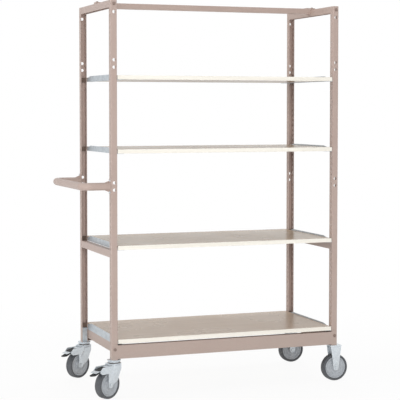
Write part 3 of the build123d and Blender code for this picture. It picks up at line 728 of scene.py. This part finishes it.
def edge_band():
    """Cream edge banding: satin, with a faint pull along its length and small knocks."""
    made, tree, shader = material("cream_edge_band")
    lines = spread(tree, effect(tree, streaks, "Value", Size=0.006, Stretch=60.0), 0.3, 0.7)
    colour = blended(tree, lines, tone(250, 246, 236), tone(244, 239, 228))
    knocks = effect(tree, patches, "Mask", Size=0.012, Share=0.22, Softness=0.05)
    colour = tinted(tree, colour, knocks, strength=0.4, tint=tone(222, 214, 202))
    tree.links.new(colour, shader.inputs["Base Color"])
    tree.links.new(spread(tree, lines, 0.0, 1.0, 0.36, 0.46), shader.inputs["Roughness"])
    skin = effect(tree, grain, "Value", Size=0.002)
    tree.links.new(raised(tree, skin, distance=0.0001, strength=0.3), shader.inputs["Normal"])
    return made


def zinc_coat(name, light, dark, cell, metal, least_rough):
    """Zinc on steel: crystal cells of their own brightness and gloss, dull clouds and floor dust."""
    made, tree, shader = material(name)
    crystal = effect(tree, spangle, "Tone", Size=cell)
    seam = effect(tree, spangle, "Edge", Size=cell)
    colour = blended(tree, crystal, dark, light)
    dull = effect(tree, patches, "Mask", Size=0.05, Share=0.4, Softness=0.2)
    colour = tinted(tree, colour, dull, strength=0.35, tint=dark)
    dust = effect(tree, floor_dust, "Mask", Reach=0.16, Amount=0.3)
    colour = blended(tree, dust, colour, dust_tone)
    tree.links.new(colour, shader.inputs["Base Color"])
    rough = spread(tree, crystal, 0.0, 1.0, least_rough + 0.1, least_rough)
    rough = plus_share(tree, rough, dull, share=0.12)
    tree.links.new(plus_share(tree, rough, dust, share=0.4), shader.inputs["Roughness"])
    bare = maths(tree, "SUBTRACT", 1.0, dust)
    tree.links.new(maths(tree, "MULTIPLY", bare, metal), shader.inputs["Metallic"])
    skin = maths(tree, "SUBTRACT", effect(tree, grain, "Value", Size=0.0012), seam)
    tree.links.new(raised(tree, skin, distance=0.00008, strength=0.4), shader.inputs["Normal"])
    return made


def moulded(name, light, dark, least_rough, grain_size, dusty):
    """Moulded plastic or rubber: soft clouds, a fine moulded grain, scuffs and floor dust."""
    made, tree, shader = material(name)
    clouds = effect(tree, patches, "Mask", Size=0.03, Share=0.5, Softness=0.3)
    colour = blended(tree, clouds, light, dark)
    scuff = effect(tree, scratches, "Mask", Size=0.025, Width=0.02, Share=0.4)
    dust = effect(tree, floor_dust, "Mask", Reach=0.16, Amount=dusty)
    worn = maths(tree, "MAXIMUM", dust, maths(tree, "MULTIPLY", scuff, 0.3))
    colour = blended(tree, worn, colour, dust_tone)
    tree.links.new(colour, shader.inputs["Base Color"])
    cloudy = spread(tree, clouds, 0.0, 1.0, least_rough, least_rough + 0.08)
    tree.links.new(plus_share(tree, cloudy, worn, share=0.2), shader.inputs["Roughness"])
    skin = effect(tree, grain, "Value", Size=grain_size, Detail=2.0)
    tree.links.new(raised(tree, skin, distance=0.0002, strength=0.4), shader.inputs["Normal"])
    return made


finishes = {
    "frame_paint": frame_paint(),
    "board_grey": board("grey_melamine", tone(189, 172, 151), tone(181, 163, 142), least_rough=0.22),
    "board_tan": board("tan_melamine", tone(200, 182, 164), tone(190, 171, 152), least_rough=0.26),
    "edge_band": edge_band(),
    "galvanised": zinc_coat(
        "galvanised_steel", tone(198, 205, 210), tone(183, 190, 196),
        cell=0.011, metal=0.55, least_rough=0.38,
    ),
    "zinc": zinc_coat(
        "bright_zinc_plate", tone(223, 230, 235), tone(205, 212, 218),
        cell=0.004, metal=0.5, least_rough=0.28,
    ),
    # Painted shade: the bolts' warm brown, darker than the frame, is partly their own dull finish and partly
    # the shade of the holes they sit in.
    "bolt_steel": zinc_coat(
        "bolt_steel_and_painted_shade", tone(150, 131, 122), tone(134, 116, 108),
        cell=0.003, metal=0.3, least_rough=0.42,
    ),
    # Painted shade: the clips' dark brown is partly their own plastic and partly the shade inside the posts'
    # channels around them.
    "dark_plastic": moulded(
        "clip_plastic_and_painted_shade", tone(108, 90, 79), tone(94, 78, 69),
        least_rough=0.5, grain_size=0.0009, dusty=0.0,
    ),
    "rim_grey": moulded(
        "light_grey_rim_plastic", tone(184, 189, 194), tone(170, 175, 181),
        least_rough=0.36, grain_size=0.0012, dusty=0.08,
    ),
    "tyre_grey": moulded(
        "dark_grey_tyre_rubber", tone(86, 89, 94), tone(74, 77, 82),
        least_rough=0.6, grain_size=0.0014, dusty=0.1,
    ),
    "pedal_rubber": moulded(
        "black_pedal_rubber", tone(34, 36, 36), tone(28, 29, 29),
        least_rough=0.6, grain_size=0.001, dusty=0.15,
    ),
}
for name, solid in nodes.items():
    solid.data.materials.clear()
    solid.data.materials.append(finishes[slot_of[name]])
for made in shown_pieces():
    if "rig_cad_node" not in made:
        made.data.materials.append(finishes[made["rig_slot"]])

# Camera, at the photograph's viewing angle, placed from the rack's middle

camera_offset = (-2.2102, -5.8610, 1.2735)
camera_tilt, camera_turn = 2.870, 20.332  # degrees, down and to the right
camera_data = bpy.data.cameras.new("camera")
camera_data.sensor_width = 36.0
camera_data.lens = 119.921
camera_data.shift_y = -0.06
camera_data.clip_end = 60.0
camera = bpy.data.objects.new("camera", camera_data)
camera.location = rack_middle + camera_offset
camera.rotation_euler = (radians(90 - camera_tilt), 0, radians(-camera_turn))
scene.collection.objects.link(camera)
scene.camera = camera
scene.view_settings.view_transform = "Standard"

# Light

lamp_aim = np.array([0, 0, 0.9])
plain_white = (1, 1, 1, 1)
ambient_strength = 0.36


def white_rays(tree):
    """1 for rays that show the background: from the camera, by reflection and through glass."""
    paths = put(tree, "ShaderNodeLightPath").outputs
    shown = maths(tree, "MAXIMUM", paths["Is Camera Ray"], paths["Is Glossy Ray"])
    return maths(tree, "MAXIMUM", shown, paths["Is Transmission Ray"])


def studio():
    """A world that is white to the eye and in reflections, and lights the trolley less strongly."""
    world = bpy.data.worlds.new("studio")
    world.use_nodes = True
    tree = world.node_tree
    tree.nodes.clear()
    ambient = put(tree, "ShaderNodeBackground", Color=plain_white, Strength=ambient_strength)
    white = put(tree, "ShaderNodeBackground", Color=plain_white, Strength=1.0)
    sky = put(tree, "ShaderNodeMixShader", _0=white_rays(tree), _1=ambient.outputs[0], _2=white.outputs[0])
    put(tree, "ShaderNodeOutputWorld", Surface=sky.outputs[0])
    return world


def softbox(name, place, size, power, mirrored=False):
    """A square area lamp at a place, turned to the trolley; glossy surfaces show it only where mirrored."""
    lamp = bpy.data.lights.new(name, "AREA")
    lamp.size = size
    lamp.energy = power
    holder = bpy.data.objects.new(name, lamp)
    holder.location = place
    holder.visible_glossy = mirrored
    way = lamp_aim - place
    yaw = np.arctan2(way[1], way[0])
    fall = np.arctan2(np.hypot(way[0], way[1]), -way[2])
    holder.rotation_euler = (float(fall), 0, float(yaw - pi / 2))
    scene.collection.objects.link(holder)


scene.world = studio()
softbox("key", (-1.8, -6.0, 1.9), size=3.0, power=198)
softbox("side", (-8.0, 0.2, 2.4), size=3.6, power=205)
softbox("back", (2.0, 6.2, 2.8), size=3.4, power=160)
softbox("top", (0.3, 0.4, 4.4), size=2.4, power=50, mirrored=True)

# Floor, white to the eye away from the trolley, with its shadow left near it

floor_half = 40.0
floor_drop = 0.0005
floor_tone = (0.92, 0.92, 0.92, 1)
shadow_near, shadow_far = 0.9, 2.6
glow_near, glow_far = 0.93, 1.0


def floor_white():
    """Matt white paint that glows to the eye: nearly all near the trolley, all of it further away."""
    made = bpy.data.materials.new("floor_white")
    made.use_nodes = True
    tree = made.node_tree
    tree.nodes.clear()
    matt = put(tree, "ShaderNodeBsdfDiffuse", Color=floor_tone)
    glow = put(tree, "ShaderNodeEmission", Color=plain_white, Strength=1.0)
    away = put(tree, "ShaderNodeVectorMath", operation="LENGTH", _0=own_place(tree)).outputs["Value"]
    glowing = spread(tree, away, shadow_near, shadow_far, glow_near, glow_far)
    lift = maths(tree, "MULTIPLY", white_rays(tree), glowing)
    shown = put(tree, "ShaderNodeMixShader", _0=lift, _1=matt.outputs[0], _2=glow.outputs[0])
    put(tree, "ShaderNodeOutputMaterial", Surface=shown.outputs[0])
    return made


floor_mesh = bpy.data.meshes.new("floor")
floor_corners = [(x * floor_half, y * floor_half, 0) for x, y in ((-1, -1), (1, -1), (1, 1), (-1, 1))]
floor_mesh.from_pydata(floor_corners, [], [(0, 1, 2, 3)])
floor_mesh.materials.append(floor_white())
floor = bpy.data.objects.new("floor", floor_mesh)
floor.location = (0, 0, -floor_drop)
scene.collection.objects.link(floor)
